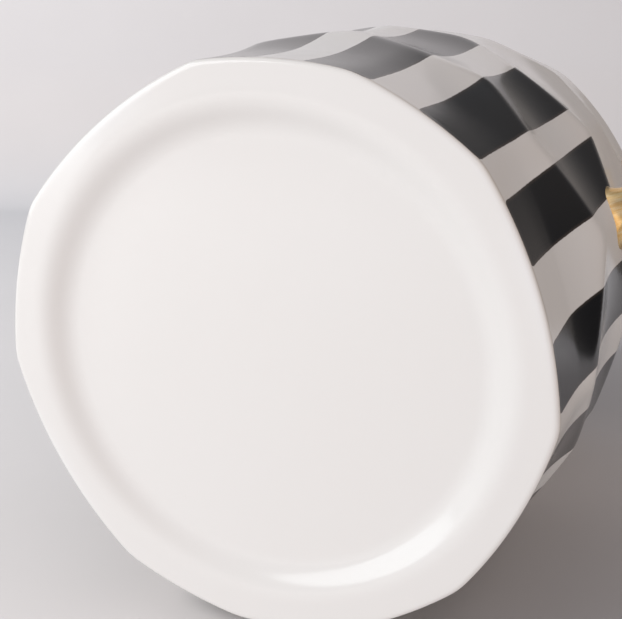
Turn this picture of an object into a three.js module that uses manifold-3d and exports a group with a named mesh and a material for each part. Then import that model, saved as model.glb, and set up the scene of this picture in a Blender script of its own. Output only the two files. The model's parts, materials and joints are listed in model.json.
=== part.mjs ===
// A stoneware mug: a cast body with soft facets pressed into its wall, and a small loop handle
// that is stuck on high up the wall with a pad of slip at each root.
// Lengths are in millimetres and angles in degrees. +Z is up and the mug stands on Z = 0.
// The handle points along +X, and the origin is the middle of the ground that the mug covers.

import * as THREE from 'three';
import { mergeVertices } from 'three/addons/utils/BufferGeometryUtils.js';
import Module from 'manifold-3d';

const wasm = await Module();
wasm.setup();

// Body
const bodyHeight = 102;
const footRadius = 38.2;         // where the wall starts, midway between ridges and hollows
const bellyRadius = 41.9;
const bellyHeight = 56;
const lipRadius = 39.6;
const wallThickness = 4.2;
const floorThickness = 4.6;
const innerFilletRadius = 9;     // between the inner wall and the inner floor

// Foot
const footRoundHeight = 0.9;     // height of the round between the ring and the wall
const ringOuterRadius = 37.3;    // the flat ring that the mug stands on
const ringWidth = 2.6;
const ringRelief = 0.9;          // share of the wall's relief that the ring's outer edge follows
const recessDepth = 1.9;
const recessFilletWidth = 6.4;   // how far the recess takes to reach its full depth

// Facets
const facetRows = 4;
const ridgeAngles = [25, 64, 89, 114, 142, 193, 227, 276, 307, 335]; // lowest row, from the handle
const facetCurve = 0.0062;       // how steeply a facet falls away to its middle, per millimetre
const ridgeSoftness = 0.12;      // width of the rounding where two facets meet
const footRelief = 0.7;          // shares of the relief that show at the foot, lip and inside
const lipRelief = 0.5;
const innerRelief = 0.6;

// Handle
const handleWidth = 9;
const handleThickness = 7.2;
const lowerRootHeight = 48;      // middle of the lower root, above the ground
const upperRootDrop = 12;        // middle of the upper root, below the top of the lip
const handleReach = 27;          // from the wall to the far side of the loop
const handleSplay = 7;           // how far the loop's bulge passes each root's height
const slipThickness = 1.4;
const slipOverhang = 0.9;        // the slip squeezed out round each root
const jointGap = 0.3;

// Fineness of the surfaces
const lowerWallSteps = 12;
const upperWallSteps = 10;
const turnSteps = 60;
const handleSteps = 28;
const handleSides = 16;
const padSides = 24;

const fullTurn = 2 * Math.PI;
const rowHeight = bodyHeight / facetRows;
const lipRound = wallThickness / 2;
const lipBase = bodyHeight - lipRound;
const upperRootHeight = bodyHeight - upperRootDrop;

// ---- relief -------------------------------------------------------------------------------

// The ridges of a row stand over the middles of the facets below it.
function ridgesOfRow(row) {
  let ridges = ridgeAngles.map(THREE.MathUtils.degToRad);
  for (let step = 0; step < row; step += 1) {
    ridges = ridges.map((angle, i) => {
      const next = i + 1 < ridges.length ? ridges[i + 1] : ridges[0] + fullTurn;
      return (angle + next) / 2;
    });
  }
  return ridges;
}

function makeFacets() {
  const facets = [];
  for (let row = 0; row < facetRows; row += 1) {
    const ridges = ridgesOfRow(row);
    ridges.forEach((angle, i) => {
      const next = i + 1 < ridges.length ? ridges[i + 1] : ridges[0] + fullTurn;
      const halfWidth = bellyRadius * (next - angle) / 2;
      facets.push({
        angle: (angle + next) / 2,
        height: (row + 0.5) * rowHeight,
        sink: facetCurve * halfWidth * halfWidth,
      });
    });
  }
  return facets;
}

const facets = makeFacets();

// The facets are full size in the middle rows and get shallower to the foot and to the lip.
function reliefShare(height) {
  const fromFoot = THREE.MathUtils.clamp((height - footRoundHeight) / (rowHeight / 2), 0, 1);
  const toLip = THREE.MathUtils.clamp((height - bodyHeight + rowHeight) / rowHeight, 0, 1);
  const low = THREE.MathUtils.lerp(footRelief, 1, fromFoot);
  const high = THREE.MathUtils.lerp(1, lipRelief, toLip);
  return Math.min(low, high);
}

// How far the wall stands out from its plain profile at one angle and height: each facet is a
// shallow bowl, the lowest bowl counts, and the ridges where bowls meet are a little rounded.
function relief(angle, height) {
  let sum = 0;
  for (const facet of facets) {
    const turn = Math.atan2(Math.sin(angle - facet.angle), Math.cos(angle - facet.angle));
    const across = turn * bellyRadius;
    const up = height - facet.height;
    const bowl = facetCurve * (across * across + up * up) - facet.sink;
    sum += Math.exp(-bowl / ridgeSoftness);
  }
  return -ridgeSoftness * Math.log(sum) * reliefShare(height);
}

// ---- profiles -----------------------------------------------------------------------------

function point(radius, height) {
  return new THREE.Vector2(radius, height);
}

// Points along a curve, each with the share of the relief that it takes.
function stretch(curve, steps, reliefFrom, reliefTo) {
  return curve.getPoints(steps).map((place, i) => ({
    place,
    share: THREE.MathUtils.lerp(reliefFrom, reliefTo, i / steps),
  }));
}

// The wall swells from the foot to the belly and draws in again to the lip. A negative grow
// gives the inside of the wall, which starts higher.
function lowerWallCurve(grow, start) {
  const belly = bellyRadius + grow;
  return new THREE.QuadraticBezierCurve(
    point(footRadius + grow, start),
    point(belly, (start + bellyHeight) / 2),
    point(belly, bellyHeight),
  );
}

function upperWallCurve(grow) {
  const belly = bellyRadius + grow;
  return new THREE.QuadraticBezierCurve(
    point(belly, bellyHeight),
    point(belly, (bellyHeight + lipBase) / 2),
    point(lipRadius + grow, lipBase),
  );
}

// The body's section, from the middle of the underside out, up, over the lip and back inside.
function bodyProfile() {
  const ringInner = ringOuterRadius - ringWidth;
  const recessRadius = ringInner - recessFilletWidth;
  const halfRecess = (ringInner + recessRadius) / 2;
  const innerFloor = recessDepth + floorThickness;
  const innerWallStart = innerFloor + innerFilletRadius;
  const innerFootRadius = footRadius - wallThickness;
  const recessFillet = new THREE.CubicBezierCurve(
    point(recessRadius, recessDepth), point(halfRecess, recessDepth),
    point(halfRecess, 0), point(ringInner, 0),
  );
  const footRound = new THREE.QuadraticBezierCurve(
    point(ringOuterRadius, 0), point(footRadius, 0), point(footRadius, footRoundHeight),
  );
  const lip = new THREE.EllipseCurve(
    lipRadius - lipRound, lipBase, lipRound, lipRound, 0, Math.PI,
  );
  const innerFillet = new THREE.QuadraticBezierCurve(
    point(innerFootRadius - innerFilletRadius, innerFloor),
    point(innerFootRadius, innerFloor),
    point(innerFootRadius, innerWallStart),
  );
  const inside = [
    ...stretch(innerFillet, 5, 0, 0),
    ...stretch(lowerWallCurve(-wallThickness, innerWallStart), 5, 0, innerRelief).slice(1),
    ...stretch(upperWallCurve(-wallThickness), 5, innerRelief, innerRelief).slice(1, -1),
  ];
  return [
    { place: point(0, recessDepth), share: 0 },
    ...stretch(recessFillet, 6, 0, 0),
    ...stretch(footRound, 3, ringRelief, 1),
    ...stretch(lowerWallCurve(0, footRoundHeight), lowerWallSteps, 1, 1).slice(1),
    ...stretch(upperWallCurve(0), upperWallSteps, 1, 1).slice(1),
    ...stretch(lip, 6, 1, innerRelief).slice(1),
    ...inside.reverse(),
    { place: point(0, innerFloor), share: 0 },
  ];
}

// A solid block inside the wall's outer surface, moved out by some distance.
function wallProfile(grow) {
  return [
    { place: point(0, footRoundHeight), share: 0 },
    ...stretch(lowerWallCurve(grow, footRoundHeight), lowerWallSteps, 1, 1),
    ...stretch(upperWallCurve(grow), upperWallSteps, 1, 1).slice(1),
    { place: point(0, lipBase), share: 0 },
  ];
}

// ---- solids -------------------------------------------------------------------------------

// Turns a profile about Z, then moves every point in or out by its share of the relief.
function turned(profile) {
  const geometry = new THREE.LatheGeometry(profile.map((entry) => entry.place), turnSteps);
  geometry.rotateX(Math.PI / 2);
  const positions = geometry.getAttribute('position');
  const vertex = new THREE.Vector3();
  for (let i = 0; i < positions.count; i += 1) {
    const { share } = profile[i % profile.length];
    vertex.fromBufferAttribute(positions, i);
    const radius = Math.hypot(vertex.x, vertex.y);
    if (share > 0) {
      const offset = share * relief(Math.atan2(vertex.y, vertex.x), vertex.z);
      const scale = (radius + offset) / radius;
      positions.setXYZ(i, vertex.x * scale, vertex.y * scale, vertex.z);
    }
  }
  return geometry;
}

// Keeps only the positions, joined where they meet, without the flat triangles at the axis.
function welded(geometry) {
  const bare = geometry.index ? geometry.toNonIndexed() : geometry.clone();
  bare.deleteAttribute('normal');
  bare.deleteAttribute('uv');
  const merged = mergeVertices(bare, 1e-4);
  const index = merged.getIndex().array;
  const kept = [];
  for (let i = 0; i < index.length; i += 3) {
    const [a, b, c] = [index[i], index[i + 1], index[i + 2]];
    if (a !== b && b !== c && c !== a) {
      kept.push(a, b, c);
    }
  }
  merged.setIndex(kept);
  return merged;
}

function toSolid(geometry) {
  const merged = welded(geometry);
  const mesh = new wasm.Mesh({
    numProp: 3,
    vertProperties: new Float32Array(merged.getAttribute('position').array),
    triVerts: new Uint32Array(merged.getIndex().array),
  });
  return new wasm.Manifold(mesh);
}

function toGeometry(solid) {
  const mesh = solid.getMesh();
  const geometry = new THREE.BufferGeometry();
  geometry.setAttribute('position', new THREE.BufferAttribute(mesh.vertProperties, 3));
  geometry.setIndex(new THREE.BufferAttribute(mesh.triVerts, 1));
  geometry.computeVertexNormals();
  return geometry;
}

function wallSolid(grow) {
  return toSolid(turned(wallProfile(grow)));
}

// ---- handle -------------------------------------------------------------------------------

// Both ends of the loop start inside the wall, where the wall's own shape trims them.
function handlePath() {
  const start = lipRadius - wallThickness;
  const bulge = (handleReach - handleThickness / 2 + bellyRadius - start) * 4 / 3;
  return new THREE.CubicBezierCurve3(
    new THREE.Vector3(start, 0, lowerRootHeight),
    new THREE.Vector3(start + bulge, 0, lowerRootHeight - handleSplay),
    new THREE.Vector3(start + bulge, 0, upperRootHeight + handleSplay),
    new THREE.Vector3(start, 0, upperRootHeight),
  );
}

function loopSolid() {
  const section = new THREE.Shape();
  section.absellipse(0, 0, handleWidth / 2, handleThickness / 2, 0, fullTurn);
  return toSolid(new THREE.ExtrudeGeometry(section, {
    curveSegments: handleSides / 2,
    steps: handleSteps,
    bevelEnabled: false,
    extrudePath: handlePath(),
  }));
}

// A pad of slip between the wall and one root of the handle, with the wall's own curve.
function slipPad(path, along) {
  const middle = path.getPointAt(along);
  const direction = path.getTangentAt(along);
  const block = new THREE.CylinderGeometry(1, 1, handleReach, padSides);
  block.scale(handleThickness / 2 + slipOverhang, 1, handleWidth / 2 + slipOverhang);
  block.rotateZ(Math.atan2(direction.z, direction.x) - Math.PI / 2);
  block.rotateX(Math.PI / 2);
  block.translate(middle.x, middle.y, middle.z);
  const outside = wallSolid(jointGap + slipThickness);
  return toSolid(block).intersect(outside).subtract(wallSolid(jointGap));
}

// Where the path comes out of the wall, as a share of its length.
function rootShare(path) {
  const rise = path.getTangentAt(0);
  return (wallThickness / rise.x) / path.getLength();
}

// ---- materials and meshes -----------------------------------------------------------------

const glaze = { color: 0xe9e5e1, roughness: 0.12, metalness: 0 };
const lustre = { color: 0xc99a4a, roughness: 0.22, metalness: 1 };

function addMesh(group, name, geometry, finish) {
  const mesh = new THREE.Mesh(geometry, new THREE.MeshStandardMaterial(finish));
  mesh.name = name;
  group.add(mesh);
}

const mug = new THREE.Group();
const path = handlePath();
const handleEnds = wallSolid(jointGap + slipThickness + jointGap);
addMesh(mug, 'body', toGeometry(toSolid(turned(bodyProfile()))), glaze);
addMesh(mug, 'handle', toGeometry(loopSolid().subtract(handleEnds)), lustre);
addMesh(mug, 'lower_slip_joint', toGeometry(slipPad(path, rootShare(path))), lustre);
addMesh(mug, 'upper_slip_joint', toGeometry(slipPad(path, 1 - rootShare(path))), lustre);

// The origin is the middle of the ground covered, handle included.
const ground = new THREE.Box3().setFromObject(mug).getCenter(new THREE.Vector3());
mug.position.set(-ground.x, -ground.y, 0);

const model = new THREE.Group();
model.add(mug);

export default model;
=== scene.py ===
# A stoneware mug with a soft faceted wall, a broad foot, black painted stripes and a gilt handle,
# lying on its side on a pale table with its underside towards the camera.
# Lengths in the dictionaries are millimetres and angles are degrees, unless a note says otherwise.
import json
import math

import bpy
import numpy as np
from mathutils import Matrix, Vector

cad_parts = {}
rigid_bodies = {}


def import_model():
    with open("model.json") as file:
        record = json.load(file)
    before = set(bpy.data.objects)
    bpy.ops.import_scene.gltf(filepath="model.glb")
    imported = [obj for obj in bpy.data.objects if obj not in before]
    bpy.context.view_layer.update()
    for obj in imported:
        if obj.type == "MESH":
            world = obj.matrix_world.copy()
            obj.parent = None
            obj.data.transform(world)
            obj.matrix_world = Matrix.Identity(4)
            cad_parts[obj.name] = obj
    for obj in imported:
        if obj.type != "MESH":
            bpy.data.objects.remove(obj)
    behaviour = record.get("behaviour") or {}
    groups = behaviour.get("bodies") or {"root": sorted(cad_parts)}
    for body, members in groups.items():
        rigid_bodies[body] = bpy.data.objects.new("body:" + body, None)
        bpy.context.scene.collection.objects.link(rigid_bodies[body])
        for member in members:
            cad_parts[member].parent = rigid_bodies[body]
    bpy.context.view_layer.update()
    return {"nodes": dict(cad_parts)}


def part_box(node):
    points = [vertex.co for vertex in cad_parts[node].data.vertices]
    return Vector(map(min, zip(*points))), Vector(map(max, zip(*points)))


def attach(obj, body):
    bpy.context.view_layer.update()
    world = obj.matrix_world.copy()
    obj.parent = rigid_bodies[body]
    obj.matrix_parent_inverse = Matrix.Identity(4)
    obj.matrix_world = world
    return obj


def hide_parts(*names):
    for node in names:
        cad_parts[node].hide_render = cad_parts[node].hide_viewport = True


mm = 0.001
fullTurn = 2 * math.pi

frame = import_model()
print("frame loaded:", ", ".join(sorted(frame["nodes"])))


cameraSetup = {
    "azimuth": 71.97,        # round the mug, where 0 looks along +Y
    "elevation": -63.63,     # the camera looks up at the underside
    "roll": 56.16,
    "distance": 125.5,       # from the point aimed at
    "aim": (9.00, -4.81, 0.9),   # from the middle of the foot
    "lens": 57.9,
    "sensor": 36,
}


def findMugAxis():
    # the handle points along +X from the body's axis and its sides are even about it
    low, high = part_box("handle")
    reach = (handleLoop["reach"] + mugBody["bellyRadius"]) * mm
    return Vector((high.x - reach, (low.y + high.y) / 2, 0))


def cameraAxes():
    turn = math.radians(cameraSetup["azimuth"])
    rise = math.radians(cameraSetup["elevation"])
    roll = math.radians(cameraSetup["roll"])
    back = Vector((
        math.sin(turn) * math.cos(rise),
        -math.cos(turn) * math.cos(rise),
        math.sin(rise),
    ))
    level = Vector((0, 0, 1)).cross(back).normalized()
    upright = back.cross(level)
    right = level * math.cos(roll) + upright * math.sin(roll)
    return right, back.cross(right), back


def addCamera():
    right, up, back = cameraAxes()
    camera = bpy.data.objects.new("camera", bpy.data.cameras.new("camera"))
    camera.data.lens = cameraSetup["lens"]
    camera.data.sensor_width = cameraSetup["sensor"]
    camera.data.clip_start = 0.005
    camera.data.clip_end = 20
    aim = mugAxis + Vector(cameraSetup["aim"]) * mm
    turned = Matrix((right, up, back)).transposed().to_4x4()
    camera.matrix_world = Matrix.Translation(aim + back * cameraSetup["distance"] * mm) @ turned
    bpy.context.scene.collection.objects.link(camera)
    bpy.context.scene.camera = camera
    return camera


def smoothObject(name, points, faces):
    mesh = bpy.data.meshes.new(name)
    mesh.from_pydata([tuple(point) for point in points], [], faces)
    mesh.polygons.foreach_set("use_smooth", [True] * len(mesh.polygons))
    mesh.update()
    made = bpy.data.objects.new(name, mesh)
    bpy.context.scene.collection.objects.link(made)
    return made


# Faces between rows of points that each close on themselves, with a point at either end.
def closedRowFaces(rows, columns):
    faces = []
    for row in range(rows - 1):
        for column in range(columns):
            after = (column + 1) % columns
            faces.append((
                row * columns + column,
                row * columns + after,
                (row + 1) * columns + after,
                (row + 1) * columns + column,
            ))
    first = rows * columns
    last = first + 1
    bottom = (rows - 1) * columns
    for column in range(columns):
        after = (column + 1) % columns
        faces.append((first, after, column))
        faces.append((last, bottom + column, bottom + after))
    return faces


def quadCurve(start, bend, end, steps):
    t = np.linspace(0, 1, steps + 1)[:, None]
    start, bend, end = map(np.array, (start, bend, end))
    return (1 - t) ** 2 * start + 2 * t * (1 - t) * bend + t ** 2 * end


def cubicCurve(start, bendA, bendB, end, steps):
    t = np.linspace(0, 1, steps + 1)[:, None]
    start, bendA, bendB, end = map(np.array, (start, bendA, bendB, end))
    early = (1 - t) ** 3 * start + 3 * t * (1 - t) ** 2 * bendA
    return early + 3 * t ** 2 * (1 - t) * bendB + t ** 3 * end


mugBody = {
    "footRadius": 38.2,
    "bellyRadius": 41.9,
    "bellyHeight": 56,
    "lipRadius": 39.6,
    "wall": 4.2,
    "floor": 4.6,
    "innerFillet": 9,
    "footRound": 0.9,
    "ringRadius": 37.3,
    "ringWidth": 2.6,
    "ringRelief": 0.9,       # share of the relief that the ring's outer edge follows
    "recess": 1.9,
    "recessFillet": 6.4,
    "recessSag": 0.12,       # the floor sinks a little in the firing
    "facetRows": 4,
    "ridges": (25, 64, 89, 114, 142, 193, 227, 276, 307, 335),   # lowest row, from the handle
    "facetCurve": 0.0062,    # how steeply a facet falls to its middle, per millimetre
    "ridgeSoftness": 0.19,
    "footRelief": 0.7,
    "lipRelief": 0.5,
    "insideRelief": 0.6,
    "handWobble": 0.05,      # unevenness left by the maker's hands
    "wobbleFullFrom": 30,    # nearer the middle than this radius the wobble fades
    "firstRing": 0.06,       # share of a flat's radius where its innermost ring lies
    "columns": 320,
}


def ridgesOfRow(row):
    ridges = np.radians(mugBody["ridges"])
    for _ in range(row):
        ridges = (ridges + np.append(ridges[1:], ridges[0] + fullTurn)) / 2
    return ridges


def makeFacets(height):
    facets = []
    rowHeight = height / mugBody["facetRows"]
    for row in range(mugBody["facetRows"]):
        ridges = ridgesOfRow(row)
        for angle, after in zip(ridges, np.append(ridges[1:], ridges[0] + fullTurn)):
            halfWidth = mugBody["bellyRadius"] * (after - angle) / 2
            sink = mugBody["facetCurve"] * halfWidth ** 2
            facets.append(((angle + after) / 2, (row + 0.5) * rowHeight, sink))
    return facets


# How much of the relief shows at a height: less at the foot and the lip.
def reliefShare(z, height):
    rowHeight = height / mugBody["facetRows"]
    fromFoot = np.clip((z - mugBody["footRound"]) / (rowHeight / 2), 0, 1)
    toLip = np.clip((z - height + rowHeight) / rowHeight, 0, 1)
    low = mugBody["footRelief"] + (1 - mugBody["footRelief"]) * fromFoot
    high = 1 + (mugBody["lipRelief"] - 1) * toLip
    return np.minimum(low, high)


# Each facet is a shallow bowl, the lowest bowl counts, and ridges are a little rounded.
def relief(angle, z, height):
    total = np.zeros(np.broadcast(angle, z).shape)
    for facetAngle, facetHeight, sink in makeFacets(height):
        turn = angle - facetAngle
        across = np.arctan2(np.sin(turn), np.cos(turn)) * mugBody["bellyRadius"]
        bowl = mugBody["facetCurve"] * (across ** 2 + (z - facetHeight) ** 2) - sink
        total = total + np.exp(-bowl / mugBody["ridgeSoftness"])
    return -mugBody["ridgeSoftness"] * np.log(total) * reliefShare(z, height)


def lowerWall(grow, start, steps):
    belly = mugBody["bellyRadius"] + grow
    middle = (start + mugBody["bellyHeight"]) / 2
    foot = mugBody["footRadius"] + grow
    return quadCurve((foot, start), (belly, middle), (belly, mugBody["bellyHeight"]), steps)


def upperWall(grow, lipBase, steps):
    belly = mugBody["bellyRadius"] + grow
    middle = (mugBody["bellyHeight"] + lipBase) / 2
    lip = mugBody["lipRadius"] + grow
    return quadCurve((belly, mugBody["bellyHeight"]), (belly, middle), (lip, lipBase), steps)


# The body's section from the underside out, up, over the lip and down inside. Each stretch is
# its points and the shares of the relief at its two ends.
def bodyStretches(height):
    p = mugBody
    ringInner = p["ringRadius"] - p["ringWidth"]
    recessRadius = ringInner - p["recessFillet"]
    halfRecess = (ringInner + recessRadius) / 2
    innerFloor = p["recess"] + p["floor"]
    innerStart = innerFloor + p["innerFillet"]
    innerFoot = p["footRadius"] - p["wall"]
    lipRound = p["wall"] / 2
    lipBase = height - lipRound
    turn = np.linspace(0, math.pi, 19)
    lip = np.stack([p["lipRadius"] - lipRound * (1 - np.cos(turn)),
                    lipBase + lipRound * np.sin(turn)], 1)
    out = np.linspace(p["firstRing"], 1, 14)
    sag = p["recess"] + p["recessSag"] * (1 - out ** 2)
    underside = np.stack([out * recessRadius, sag], 1)
    filletIn = cubicCurve((recessRadius, p["recess"]), (halfRecess, p["recess"]),
                          (halfRecess, 0), (ringInner, 0), 18)
    ring = np.stack([np.linspace(ringInner, p["ringRadius"], 7)[1:-1], np.zeros(5)], 1)
    footRound = quadCurve((p["ringRadius"], 0), (p["footRadius"], 0),
                          (p["footRadius"], p["footRound"]), 8)
    fillet = quadCurve((innerFoot - p["innerFillet"], innerFloor), (innerFoot, innerFloor),
                       (innerFoot, innerStart), 12)
    well = np.stack([np.linspace(p["firstRing"], 1, 9)[:-1] * (innerFoot - p["innerFillet"]),
                     np.full(8, innerFloor)], 1)
    return [
        (underside, 0, 0),
        (filletIn[1:], 0, 0),
        (ring, p["ringRelief"] / 6, p["ringRelief"] * 5 / 6),
        (footRound, p["ringRelief"], 1),
        (lowerWall(0, p["footRound"], 66)[1:], 1, 1),
        (upperWall(0, lipBase, 48)[1:], 1, 1),
        (lip[1:], 1, p["insideRelief"]),
        (upperWall(-p["wall"], lipBase, 24)[::-1][1:], p["insideRelief"], p["insideRelief"]),
        (lowerWall(-p["wall"], innerStart, 24)[::-1][1:], p["insideRelief"], 0),
        (fillet[::-1][1:], 0, 0),
        (well[::-1], 0, 0),
    ]


# Slow waves round the pot, always inwards, so that no outline is a true circle.
def handWobble(angle, z):
    waves = np.sin(2 * angle + 0.7) + 0.6 * np.sin(3 * angle - 1.9 + z * 0.021)
    waves = waves + 0.35 * np.sin(7 * angle + z * 0.11) - 1.95
    return mugBody["handWobble"] * waves


def outerRadius(z, height):
    lipBase = height - mugBody["wall"] / 2
    wall = np.concatenate([lowerWall(0, mugBody["footRound"], 60),
                           upperWall(0, lipBase, 60)[1:]])
    return np.interp(z, wall[:, 1], wall[:, 0])


# A point on the outside of the wall, moved out by some distance.
def wallPoint(angle, z, out, height):
    radius = outerRadius(z, height) + relief(angle, z, height) + handWobble(angle, z) + out
    return radius * np.cos(angle), radius * np.sin(angle)


stripes = {
    "count": 16,
    "gap": 27,               # between the middles of the two stripes beside the handle
    "gapMiddle": 2,          # from the handle
    "width": 12.8,
    "bottom": 0.6,
    "top": 55.7,
    # where the brush strayed: middle and width in degrees, then the ends of its upper edge
    "strayed": {
        0: (0.0, 0.4, 0, 0),
        15: (0.1, 0.0, 0, -4.5),
        14: (1.2, 1.0, -3, 2),
        13: (0.0, 0.4, -3, -3),
    },
    "looseness": 0.4,        # how far the other stripes stray, in degrees
    "corner": 0.7,           # rounding of a stripe's corners
    "edgeBlur": 0.07,
    "edgeWander": 0.55,      # how far an edge runs in and out
    "edgeGrain": 0.12,
    "black": (0.0085, 0.0085, 0.0092, 1),
    "thinEdge": (0.055, 0.043, 0.036, 1),
}


# A stripe that isn't listed as strayed is only a little off its place.
def looseStripe(number):
    loose = stripes["looseness"]
    return loose * math.sin(2.4 * number), loose * math.sin(3.7 * number), math.sin(number), 0


# How far a place is outside the nearest stripe, in millimetres; inside is below zero.
def stripeDistance(angle, z):
    p = stripes
    spacing = (360 - p["gap"]) / (p["count"] - 1)
    around = (np.degrees(angle) - p["gapMiddle"]) % 360
    nearest = np.full(np.broadcast(angle, z).shape, 1000.0)
    for number in range(p["count"]):
        shift, widen, fromTop, toTop = p["strayed"].get(number, looseStripe(number))
        width = p["width"] + widen
        turn = around - p["gap"] / 2 - number * spacing - shift
        turn = (turn + 180) % 360 - 180
        share = np.clip(turn / width + 0.5, 0, 1)
        top = p["top"] + fromTop + (toTop - fromTop) * share
        across = np.abs(np.radians(turn)) * mugBody["footRadius"]
        pastSide = across - np.radians(width) * mugBody["footRadius"] / 2 + p["corner"]
        pastEnd = np.maximum(z - top, p["bottom"] - z) + p["corner"]
        outer = np.hypot(np.maximum(pastSide, 0), np.maximum(pastEnd, 0))
        inner = np.minimum(np.maximum(pastSide, pastEnd), 0)
        nearest = np.minimum(nearest, outer + inner - p["corner"])
    return nearest


def buildBody(height):
    columns = mugBody["columns"]
    angle = np.linspace(0, fullTurn, columns, endpoint=False)
    rows, shares = [], []
    for points, fromShare, toShare in bodyStretches(height):
        rows.append(points)
        shares.append(np.linspace(fromShare, toShare, len(points)))
    rows = np.concatenate(rows)
    shares = np.concatenate(shares)[:, None]
    radius, z = rows[:, :1], rows[:, 1:]
    lipRow = int(np.argmax(rows[:, 1]))
    press = shares * relief(angle[None, :], z, height)
    fade = np.clip(radius / mugBody["wobbleFullFrom"], 0, 1) ** 2
    wide = radius + press + handWobble(angle[None, :], z) * fade
    tall = np.broadcast_to(z, wide.shape)
    grid = np.stack([wide * np.cos(angle), wide * np.sin(angle), tall], -1).reshape(-1, 3)
    ends = np.array([(0, 0, rows[0, 1]), (0, 0, rows[-1, 1])])
    points = np.concatenate([grid, ends]) * mm + np.array(mugAxis)
    body = smoothObject("mug_body", points, closedRowFaces(len(rows), columns))
    reached = (np.arange(len(rows)) <= lipRow) & (rows[:, 0] > mugBody["ringRadius"] - 0.1)
    outside = np.broadcast_to(reached[:, None], press.shape)
    distance = stripeDistance(angle[None, :], z)
    hollow = np.clip(-press / 2, 0, 1)
    for name, values in (("hollow", hollow), ("outside", outside), ("stripe", distance)):
        layer = body.data.attributes.new(name, "FLOAT", "POINT")
        layer.data.foreach_set("value", np.append(values.ravel(), (0, 0)).astype(np.float32))
    print("body:", len(rows), "rings of", columns)
    return body


handleLoop = {
    "width": 9,
    "thickness": 7.2,
    "lowerRoot": 48,         # height of the lower root's middle
    "upperRootDrop": 12,     # the upper root's middle, below the top of the lip
    "reach": 27,
    "splay": 7,
    "thinning": 0.05,        # the loop is drawn a little thinner at its far side
    "flatInside": 0.12,      # the finger side is flatter than the outside
    "steps": 96,
    "sides": 48,
}

slipJoint = {
    "rise": 2.1,             # from the wall to where the loop starts
    "spread": 1.0,           # how far the cove runs out on the wall
    "sink": 0.25,            # how far its edge lies in the glaze
    "steps": 14,
    "unevenness": 0.18,
}


def handlePath(height):
    start = mugBody["lipRadius"] - mugBody["wall"]
    far = handleLoop["reach"] - handleLoop["thickness"] / 2 + mugBody["bellyRadius"] - start
    bulge = far * 4 / 3
    low = handleLoop["lowerRoot"]
    high = height - handleLoop["upperRootDrop"]
    splay = handleLoop["splay"]
    return cubicCurve((start, low), (start + bulge, low - splay),
                      (start + bulge, high + splay), (start, high), 1600)


# Lengths along the path, and where it comes out of the wall at each root.
def pathLengths(path, height):
    steps = np.linalg.norm(np.diff(path, axis=0), axis=1)
    along = np.append(0, np.cumsum(steps))
    out = path[:, 0] > wallPoint(0.0, path[:, 1], 0, height)[0]
    roots = np.flatnonzero(out)
    return along, along[roots[0]], along[roots[-1]]


# One ring of the loop's section at a length along the path.
def loopRing(path, along, length, grow):
    x = np.interp(length, along, path[:, 0])
    z = np.interp(length, along, path[:, 1])
    step = 0.05
    dx = np.interp(length + step, along, path[:, 0]) - np.interp(length - step, along, path[:, 0])
    dz = np.interp(length + step, along, path[:, 1]) - np.interp(length - step, along, path[:, 1])
    size = math.hypot(dx, dz)
    outward = np.array([dz / size, 0, -dx / size])       # towards the outside of the loop
    share = length / along[-1]
    thin = 1 - handleLoop["thinning"] * math.sin(math.pi * share) ** 2
    turn = np.linspace(0, fullTurn, handleLoop["sides"], endpoint=False)
    side = np.sin(turn) * (handleLoop["width"] / 2 * thin + grow)
    lift = np.cos(turn) * (handleLoop["thickness"] / 2 * thin + grow)
    lift = np.where(lift < 0, lift * (1 - handleLoop["flatInside"]), lift)
    middle = np.array([x, 0, z])
    return middle + np.outer(lift, outward) + np.outer(side, np.array([0, 1, 0]))


def buildLoop(path, along, start, end):
    lengths = np.linspace(start, end, handleLoop["steps"])
    rings = [loopRing(path, along, length, 0) for length in lengths]
    grid = np.concatenate(rings)
    caps = np.array([rings[0].mean(0), rings[-1].mean(0)])
    points = np.concatenate([grid, caps]) * mm + np.array(mugAxis)
    print("handle:", len(rings), "rings")
    return smoothObject("handle_loop", points, closedRowFaces(len(rings), handleLoop["sides"]))


# A cove of slip that runs from the wall up to one end of the loop.
def buildSlip(name, path, along, root, end, height):
    top = loopRing(path, along, end, 0.0)
    base = loopRing(path, along, root, 0.0)
    wide = loopRing(path, along, root, slipJoint["spread"])
    turn = np.linspace(0, fullTurn, handleLoop["sides"], endpoint=False)
    uneven = slipJoint["unevenness"] * (np.sin(3 * turn + root) + 0.6 * np.sin(7 * turn + 2))

    def onWall(ring, out):
        z = ring[:, 2]
        angle = np.arcsin(np.clip(ring[:, 1] / mugBody["bellyRadius"], -1, 1))
        x, y = wallPoint(angle, z, out, height)
        return np.stack([x, y, z], 1)

    foot = onWall(base + (wide - base) * (1 + uneven[:, None]), -slipJoint["sink"])
    bend = onWall(base, 0.3)
    rings = []
    for t in np.linspace(0, 1, slipJoint["steps"]):
        rings.append((1 - t) ** 2 * foot + 2 * t * (1 - t) * bend + t ** 2 * top)
    caps = np.array([foot.mean(0), top.mean(0)])
    points = np.concatenate(rings + [caps]) * mm + np.array(mugAxis)
    return smoothObject(name, points, closedRowFaces(len(rings), handleLoop["sides"]))


def buildHandle(height):
    path = handlePath(height)
    along, rootA, rootB = pathLengths(path, height)
    rise = slipJoint["rise"]
    loop = buildLoop(path, along, rootA + rise, rootB - rise)
    lower = buildSlip("lower_slip", path, along, rootA, rootA + rise + 0.02, height)
    upper = buildSlip("upper_slip", path, along, rootB, rootB - rise - 0.02, height)
    return loop, lower, upper


def feed(tree, socket, value):
    if isinstance(value, bpy.types.NodeSocket):
        tree.links.new(value, socket)
    else:
        socket.default_value = value


def addNode(tree, kind, values=None, **settings):
    node = tree.nodes.new(kind)
    for name, value in settings.items():
        setattr(node, name, value)
    for name, value in (values or {}).items():
        feed(tree, node.inputs[name], value)
    return node


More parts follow.
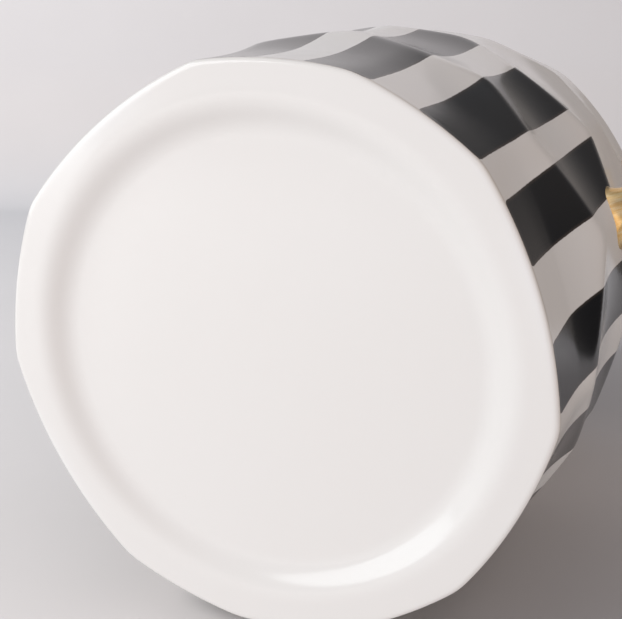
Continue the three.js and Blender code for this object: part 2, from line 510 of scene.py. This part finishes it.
def calc(tree, operation, *values):
    node = tree.nodes.new("ShaderNodeMath")
    node.operation = operation
    for socket, value in zip(node.inputs, values):
        feed(tree, socket, value)
    return node.outputs[0]


def ramp(tree, value, fromLow, fromHigh, toLow=0.0, toHigh=1.0, smooth=True):
    node = addNode(tree, "ShaderNodeMapRange")
    node.interpolation_type = "SMOOTHSTEP" if smooth else "LINEAR"
    for socket, number in zip(node.inputs, (value, fromLow, fromHigh, toLow, toHigh)):
        feed(tree, socket, number)
    return node.outputs[0]


def blendColour(tree, share, first, second, mode="MIX"):
    node = addNode(tree, "ShaderNodeMix", data_type="RGBA", blend_type=mode)
    feed(tree, node.inputs[0], share)
    feed(tree, node.inputs[6], first)
    feed(tree, node.inputs[7], second)
    return node.outputs[2]


def noise(tree, place, scale, detail=2.0, roughness=0.5):
    values = {"Vector": place, "Scale": scale, "Detail": detail, "Roughness": roughness}
    return addNode(tree, "ShaderNodeTexNoise", values).outputs[0]


def newGroup(name, inputs, outputs):
    group = bpy.data.node_groups.new(name, "ShaderNodeTree")
    for label, value in inputs.items():
        socket = group.interface.new_socket(label, in_out="INPUT", socket_type="NodeSocketFloat")
        socket.default_value = value
    for label in outputs:
        group.interface.new_socket(label, in_out="OUTPUT", socket_type="NodeSocketFloat")
    entry = group.nodes.new("NodeGroupInput")
    leave = group.nodes.new("NodeGroupOutput")
    place = addNode(group, "ShaderNodeTexCoord").outputs["Object"]
    return group, entry.outputs, leave.inputs, place


def useGroup(tree, group, **values):
    node = tree.nodes.new("ShaderNodeGroup")
    node.node_tree = group
    for name, value in values.items():
        feed(tree, node.inputs[name], value)
    return node.outputs


def newMaterial(name):
    material = bpy.data.materials.new(name)
    material.use_nodes = True
    tree = material.node_tree
    shader = tree.nodes["Principled BSDF"]
    return material, tree, shader


# The skin of a melted glaze: slow ripples where it ran, and a fine orange peel.
def glazeSkinGroup():
    group, given, result, place = newGroup(
        "glaze skin", {"ripple": 1.0, "peel": 0.1, "ripple scale": 70.0, "peel scale": 900.0},
        ("height", "gloss"))
    slow = noise(group, place, given["ripple scale"], 1.5)
    fine = noise(group, place, given["peel scale"], 1.0)
    slowHeight = calc(group, "MULTIPLY", slow, given["ripple"])
    group.links.new(calc(group, "MULTIPLY_ADD", fine, given["peel"], slowHeight), result["height"])
    patches = noise(group, place, 38.0, 4.0, 0.6)
    group.links.new(ramp(group, patches, 0.3, 0.7), result["gloss"])
    return group


# Small round marks scattered over a surface: pinholes, iron specks, kiln dust.
def scatterGroup():
    group, given, result, place = newGroup(
        "scattered marks", {"scale": 400.0, "size": 0.12, "share": 0.1}, ("mask",))
    cells = addNode(group, "ShaderNodeTexVoronoi", {"Vector": place, "Scale": given["scale"]})
    split = addNode(group, "ShaderNodeSeparateColor", {"Color": cells.outputs["Color"]})
    chosen = calc(group, "LESS_THAN", split.outputs[0], given["share"])
    size = calc(group, "MULTIPLY", given["size"], calc(group, "ADD", split.outputs[1], 0.35))
    edge = calc(group, "SUBTRACT", cells.outputs["Distance"], size)
    spot = ramp(group, edge, 0.0, -0.05)
    group.links.new(calc(group, "MULTIPLY", spot, chosen), result["mask"])
    return group


whiteGlaze = {
    "thick": (0.83, 0.805, 0.785, 1),      # pooled in the facets
    "thin": (0.80, 0.765, 0.735, 1),       # stretched over a ridge
    "footLine": (0.62, 0.545, 0.47, 1),    # where the glaze breaks at the foot's edge
    "footLineHeight": 0.7,
    "footLineWidth": 0.45,
    "speck": (0.34, 0.27, 0.21, 1),        # iron in the clay that shows through
    "speckStrength": 0.35,
    "stripeRise": 0.12,                    # black glaze stands a little proud of the white
    "pitDepth": 0.25,
    "roughness": (0.10, 0.19),
}


def glazeMaterial(skin, marks):
    material, tree, shader = newMaterial("striped white glaze")
    place = addNode(tree, "ShaderNodeTexCoord").outputs["Object"]
    distance = addNode(tree, "ShaderNodeAttribute", attribute_name="stripe").outputs["Fac"]
    for scale, reach in ((55.0, stripes["edgeWander"]), (1400.0, stripes["edgeGrain"])):
        stray = calc(tree, "SUBTRACT", noise(tree, place, scale, 1.5), 0.5)
        distance = calc(tree, "MULTIPLY_ADD", stray, reach, distance)
    axes = addNode(tree, "ShaderNodeSeparateXYZ", {"Vector": place})
    height = calc(tree, "DIVIDE", axes.outputs["Z"], mm)
    outside = addNode(tree, "ShaderNodeAttribute", attribute_name="outside").outputs["Fac"]
    black = ramp(tree, distance, stripes["edgeBlur"], -stripes["edgeBlur"])
    black = calc(tree, "MULTIPLY", black, outside)
    core = ramp(tree, distance, -0.02, -0.5)

    hollow = addNode(tree, "ShaderNodeAttribute", attribute_name="hollow").outputs["Fac"]
    cloud = calc(tree, "MULTIPLY_ADD", noise(tree, place, 30.0, 3.0), 0.5, -0.25)
    pooled = calc(tree, "ADD", hollow, cloud)
    white = blendColour(tree, ramp(tree, pooled, -0.1, 0.7), whiteGlaze["thin"], whiteGlaze["thick"])
    fromLine = calc(tree, "ABSOLUTE", calc(tree, "SUBTRACT", height, whiteGlaze["footLineHeight"]))
    footLine = ramp(tree, fromLine, whiteGlaze["footLineWidth"], 0.0, 0.0, 0.6)
    footLine = calc(tree, "MULTIPLY", footLine, outside)
    white = blendColour(tree, footLine, white, whiteGlaze["footLine"])
    specks = useGroup(tree, marks, scale=260.0, size=0.05, share=0.05)["mask"]
    specks = calc(tree, "MULTIPLY", specks, whiteGlaze["speckStrength"])
    white = blendColour(tree, specks, white, whiteGlaze["speck"])
    paint = blendColour(tree, core, stripes["thinEdge"], stripes["black"])
    feed(tree, shader.inputs["Base Color"], blendColour(tree, black, white, paint))

    surface = useGroup(tree, skin, ripple=1.0, peel=0.05)
    low, high = whiteGlaze["roughness"]
    feed(tree, shader.inputs["Roughness"], ramp(tree, surface["gloss"], 0.0, 1.0, low, high, False))
    pits = useGroup(tree, marks, scale=520.0, size=0.09, share=0.03)["mask"]
    step = calc(tree, "MULTIPLY_ADD", black, whiteGlaze["stripeRise"], surface["height"])
    step = calc(tree, "SUBTRACT", step, calc(tree, "MULTIPLY", pits, whiteGlaze["pitDepth"]))
    dents = {"Height": step, "Strength": 0.5, "Distance": 0.1 * mm}
    bump = addNode(tree, "ShaderNodeBump", dents)
    feed(tree, shader.inputs["Normal"], bump.outputs[0])
    shader.inputs["IOR"].default_value = 1.5
    return material


goldLustre = {
    "bright": (0.78, 0.50, 0.20, 1),
    "worn": (0.46, 0.27, 0.10, 1),
    "pale": (0.86, 0.66, 0.38, 1),
    "roughness": (0.16, 0.36),
}


def lustreMaterial(skin, marks):
    material, tree, shader = newMaterial("gold lustre")
    place = addNode(tree, "ShaderNodeTexCoord").outputs["Object"]
    stretch = addNode(tree, "ShaderNodeMapping", {"Vector": place, "Scale": (1.0, 7.0, 1.6)})
    strokes = noise(tree, stretch.outputs[0], 260.0, 3.0, 0.6)
    clouds = noise(tree, place, 120.0, 3.0)
    tone = blendColour(tree, ramp(tree, strokes, 0.35, 0.7), goldLustre["bright"], goldLustre["pale"])
    tone = blendColour(tree, ramp(tree, clouds, 0.55, 0.75, 0.0, 0.7), tone, goldLustre["worn"])
    dust = useGroup(tree, marks, scale=700.0, size=0.1, share=0.08)["mask"]
    tone = blendColour(tree, calc(tree, "MULTIPLY", dust, 0.5), tone, goldLustre["worn"])
    feed(tree, shader.inputs["Base Color"], tone)
    shader.inputs["Metallic"].default_value = 1.0
    surface = useGroup(tree, skin, ripple=1.0, peel=0.16)
    low, high = goldLustre["roughness"]
    rough = calc(tree, "MULTIPLY_ADD", strokes, 0.5, calc(tree, "MULTIPLY", surface["gloss"], 0.5))
    feed(tree, shader.inputs["Roughness"], ramp(tree, rough, 0.2, 0.8, low, high, False))
    ridge = calc(tree, "MULTIPLY_ADD", strokes, 0.12, surface["height"])
    dents = {"Height": ridge, "Strength": 0.6, "Distance": 0.1 * mm}
    bump = addNode(tree, "ShaderNodeBump", dents)
    feed(tree, shader.inputs["Normal"], bump.outputs[0])
    return material


setting = {
    "tableUp": (0.3219, -0.9467, 0.0),   # out of the table, across the lying mug's axis
    "ahead": (-0.349, -0.119, 0.929),    # along the table, away from the camera
    "wallDistance": 545,     # from the camera
    "coveRadius": 70,
    "coveSteps": 24,
    "wallTop": 900,
    "behind": 500,
    "paleFrom": 160,         # where the painted light that makes the table paler starts, from the camera
    "paleAtCove": 0.90,      # share of the painted light colour where the cove starts,
    "paleAtWall": 0.34,      # where it ends,
    "paleAtTop": 0.36,       # at the top of the wall,
    "paintedCoveShade": 0.3,          # and how much painted shade darkens the middle of the cove
    "leftWidth": 1100,
    "rightWidth": 190,
    "floorHalf": 1400,
    "floorDrop": 0.2,        # so that the floor stays clear of the foot
    "tableColour": (0.47, 0.445, 0.44, 1),
    "paintedLightColour": (0.60, 0.60, 0.62, 1),    # painted light: the paler colour painted on the far table and up the wall
    "floorColour": (0.74, 0.735, 0.73, 1),
}

lighting = {
    "keyPlace": (-390, 120, 140),    # right, up and back from the middle of the foot
    "keySize": (380, 380),
    "keyPower": 1.62,                # watts
    "keyColour": (0.92, 0.98, 1.0),
    # one more window that lights the table only
    "sidePlace": (-450, 330, 290),
    "sideSize": (240, 240),
    "sidePower": 4.7,
    "glowEdge": 0.62,                # cosine of the angle where a glow ends
    # soft glows of the room: right, up and back from the mug, how strong, and which tint
    "glows": (
        ((-1, -1, 0), 0.50, "warm"),
        ((-1, -1, 1), 0.50, "plain"),
        ((-1, 0, 1), 0.10, "plain"),
        ((0, -1, 0), 0.40, "cool"),
        ((0, -1, 1), 0.25, "cool"),
        ((0, 0, -1), 0.30, "warm"),
        ((0, 0, 1), 0.35, "plain"),
        ((0, 1, -1), 0.05, "cool"),
        ((0, 1, 0), 0.40, "cool"),
        ((0, 1, 1), 0.35, "plain"),
        ((1, -1, 1), 0.25, "warm"),
        ((1, 0, 1), 0.60, "warm"),
        ((1, 1, -1), 0.05, "plain"),
        ((1, 1, 0), 0.10, "warm"),
        ((1, 1, 1), 0.25, "warm"),
    ),
    "tints": {
        "warm": (1.13, 0.99, 0.89),
        "plain": (0.99, 0.97, 1.04),
        "cool": (0.90, 1.0, 1.11),
    },
    "shown": (0.74, 0.74, 0.75, 1),  # what the camera sees past the backdrop
}


# A surface that can be seen only from its front.
def oneSidedMaterial(name, colour, paintedLightColour):
    material, tree, shader = newMaterial(name)
    place = addNode(tree, "ShaderNodeTexCoord").outputs["Object"]
    # Painted light and shade: the sheet turns to the paler painted light colour by its far share,
    # which dips in the middle of the cove as painted shade.
    far = addNode(tree, "ShaderNodeAttribute", attribute_name="far").outputs["Fac"]
    colour = blendColour(tree, far, colour, paintedLightColour)
    mottle = noise(tree, place, 24.0, 4.0, 0.6)
    mottle = ramp(tree, mottle, 0.0, 1.0, 0.965, 1.0)
    shade = addNode(tree, "ShaderNodeVectorMath", operation="SCALE")
    feed(tree, shade.inputs[0], colour)
    feed(tree, shade.inputs["Scale"], mottle)
    feed(tree, shader.inputs["Base Color"], shade.outputs[0])
    shader.inputs["Roughness"].default_value = 0.75
    clear = addNode(tree, "ShaderNodeBsdfTransparent")
    behind = addNode(tree, "ShaderNodeNewGeometry").outputs["Backfacing"]
    mix = addNode(tree, "ShaderNodeMixShader")
    feed(tree, mix.inputs[0], behind)
    feed(tree, mix.inputs[1], shader.outputs[0])
    feed(tree, mix.inputs[2], clear.outputs[0])
    feed(tree, tree.nodes["Material Output"].inputs["Surface"], mix.outputs[0])
    return material


# The sheet seen from its side: how far ahead, how high, and its share of the painted light colour.
def sweepLine():
    p = setting
    line = [(-p["behind"], 0, 0), (0, 0, 0), (p["paleFrom"], 0, 0)]
    middle = (p["paleAtCove"] + p["paleAtWall"]) / 2
    swing = (p["paleAtCove"] - p["paleAtWall"]) / 2
    for step in range(p["coveSteps"] + 1):
        turn = math.pi / 2 * step / p["coveSteps"]
        forward = p["wallDistance"] + p["coveRadius"] * (math.sin(turn) - 1)
        rise = p["coveRadius"] * (1 - math.cos(turn))
        # painted shade: less of the paler colour in the middle of the cove
        share = middle + swing * math.cos(2 * turn) - p["paintedCoveShade"] * math.sin(2 * turn)
        line.append((forward, rise, share))
    return line + [(p["wallDistance"], p["wallTop"], p["paleAtTop"])]


# The table and the wall behind it are one sheet with a soft bend.
def buildSweep(body, camera):
    up = Vector(setting["tableUp"]).normalized()
    ahead = Vector(setting["ahead"])
    ahead = (ahead - up * ahead.dot(up)).normalized()
    side = ahead.cross(up)
    lowest = min(vertex.co.dot(up) for vertex in body.data.vertices)
    table = lowest - 0.02 * mm
    start = camera.matrix_world.translation
    foot = start + up * (table - start.dot(up))
    points, faces, shares = [], [], []
    line = sweepLine()
    for forward, rise, share in line:
        for edge in (-setting["leftWidth"], setting["rightWidth"]):
            points.append(foot + (ahead * forward + up * rise + side * edge) * mm)
            shares.append(share)
    for row in range(len(line) - 1):
        faces.append((row * 2, row * 2 + 1, row * 2 + 3, row * 2 + 2))
    sweep = smoothObject("table_sweep", points, faces)
    # the far share carries the painted light along the sheet, and the painted shade in the cove
    far = sweep.data.attributes.new("far", "FLOAT", "POINT")
    far.data.foreach_set("value", shares)
    normal = sweep.data.polygons[0].normal
    if normal.dot(up) < 0:
        sweep.data.flip_normals()
    sweep.data.materials.append(oneSidedMaterial(
        "pale table", setting["tableColour"], setting["paintedLightColour"]))
    sweep.visible_diffuse = False
    sweep.visible_shadow = False
    print("table and backdrop: one sweep")
    return sweep


# A floor for looks at the mug from its own upright side. From below it can't be seen.
def buildFloor():
    half = setting["floorHalf"] * mm
    drop = -setting["floorDrop"] * mm
    corners = [(-half, -half, drop), (half, -half, drop), (half, half, drop), (-half, half, drop)]
    floor = smoothObject("floor", corners, [(0, 1, 2, 3)])
    floor.data.materials.append(oneSidedMaterial(
        "pale floor", setting["floorColour"], setting["floorColour"]))
    floor.visible_diffuse = False
    floor.visible_glossy = False
    floor.visible_shadow = False
    floor.visible_transmission = False
    return floor


# A window at a place given right, up and back from the middle of the foot.
def addWindow(name, place, size, power, colour):
    right, up, back = cameraAxes()
    across, over, near = place
    towards = right * across + up * over + back * near
    data = bpy.data.lights.new(name, "AREA")
    data.shape = "RECTANGLE"
    data.size = size[0] * mm
    data.size_y = size[1] * mm
    data.energy = power
    data.color = colour
    light = bpy.data.objects.new(name, data)
    light.location = mugAxis + towards * mm
    light.rotation_mode = "QUATERNION"
    light.rotation_quaternion = (-towards).to_track_quat("-Z", "Y")
    bpy.context.scene.collection.objects.link(light)
    return light


def addLights(sweep):
    p = lighting
    addWindow("window", p["keyPlace"], p["keySize"], p["keyPower"], p["keyColour"])
    side = addWindow("side_window", p["sidePlace"], p["sideSize"], p["sidePower"], (1, 1, 1))
    lit = bpy.data.collections.new("lit from the side")
    lit.objects.link(sweep)
    side.light_linking.receiver_collection = lit
    print("lights: two windows and the room")


# The room is a sum of soft glows round the mug.
def addRoomLight():
    right, up, back = cameraAxes()
    world = bpy.data.worlds.new("room")
    bpy.context.scene.world = world
    world.use_nodes = True
    tree = world.node_tree
    direction = addNode(tree, "ShaderNodeTexCoord").outputs["Generated"]
    total = (0.0, 0.0, 0.0)
    for (across, over, near), strength, tint in lighting["glows"]:
        aim = (right * across + up * over + back * near).normalized()
        along = addNode(tree, "ShaderNodeVectorMath", operation="DOT_PRODUCT")
        feed(tree, along.inputs[0], direction)
        feed(tree, along.inputs[1], tuple(aim))
        share = ramp(tree, along.outputs["Value"], lighting["glowEdge"], 1.0)
        glow = addNode(tree, "ShaderNodeVectorMath", operation="MULTIPLY_ADD")
        feed(tree, glow.inputs[0], share)
        feed(tree, glow.inputs[1], tuple(strength * part for part in lighting["tints"][tint]))
        feed(tree, glow.inputs[2], total)
        total = glow.outputs["Vector"]
    seen = addNode(tree, "ShaderNodeLightPath").outputs["Is Camera Ray"]
    background = tree.nodes["Background"]
    feed(tree, background.inputs["Color"], blendColour(tree, seen, total, lighting["shown"]))


mugAxis = findMugAxis()
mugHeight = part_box("body")[1].z / mm
camera = addCamera()

bodyPiece = buildBody(mugHeight)
loopPiece, lowerPiece, upperPiece = buildHandle(mugHeight)

skinGroup = glazeSkinGroup()
marksGroup = scatterGroup()
glaze = glazeMaterial(skinGroup, marksGroup)
lustre = lustreMaterial(skinGroup, marksGroup)
print("materials made")

for piece, node, slot, finish in (
    (bodyPiece, "body", "glaze", glaze),
    (loopPiece, "handle", "lustre", lustre),
    (lowerPiece, "lower_slip_joint", "lustre", lustre),
    (upperPiece, "upper_slip_joint", "lustre", lustre),
):
    piece.data.materials.append(finish)
    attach(piece, "root")
    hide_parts(node)

for piece in (loopPiece, lowerPiece):
    piece.visible_glossy = False     # no gilt glint in the black stripes
sweep = buildSweep(bodyPiece, camera)
buildFloor()
addLights(sweep)
addRoomLight()
bpy.context.scene.view_settings.view_transform = "Standard"
